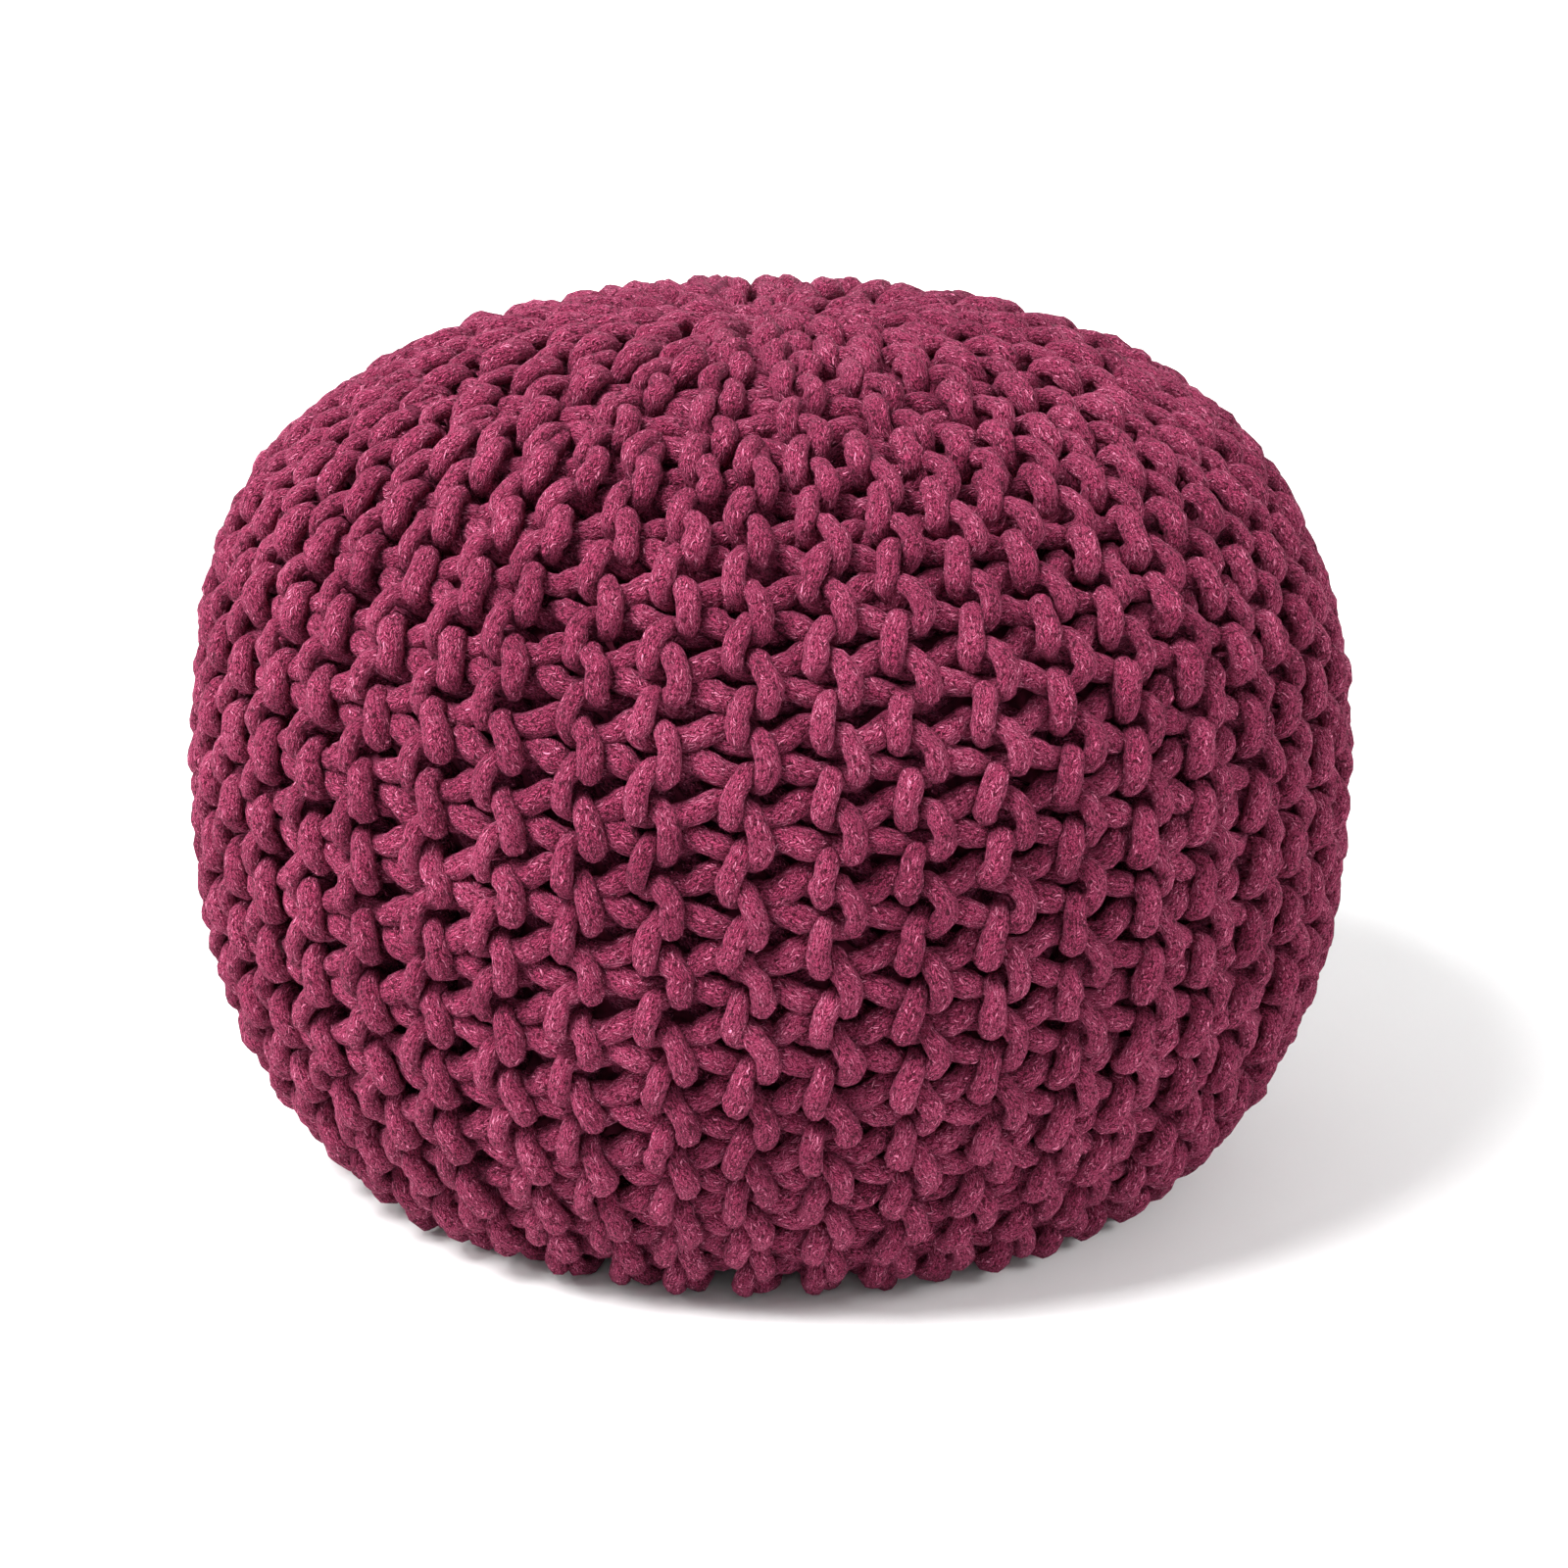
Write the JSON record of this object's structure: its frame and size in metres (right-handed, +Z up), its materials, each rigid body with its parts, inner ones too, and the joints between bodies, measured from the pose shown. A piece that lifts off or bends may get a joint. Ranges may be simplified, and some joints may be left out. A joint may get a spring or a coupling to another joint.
{
  "type": "knitted pouf",
  "caption": "Round chunky garter-stitch pouf in plum yarn, filled and squashed, with ridges running up to a gathered crown and a flat base to stand on.",
  "frame": {"origin": "centre of the flat base, on the surface the pouf stands on", "axes": "+Z up through the gathered crown, the pouf's short way; -Y towards the side that the picture shows"},
  "size_m": [0.5, 0.4988, 0.3713],
  "materials": {
    "plum_yarn": "matt, slightly fuzzy knitted-tube cotton yarn"
  },
  "bodies": {
    "root": {"knitted_pouf": "plum_yarn"}
  },
  "joints": []
}
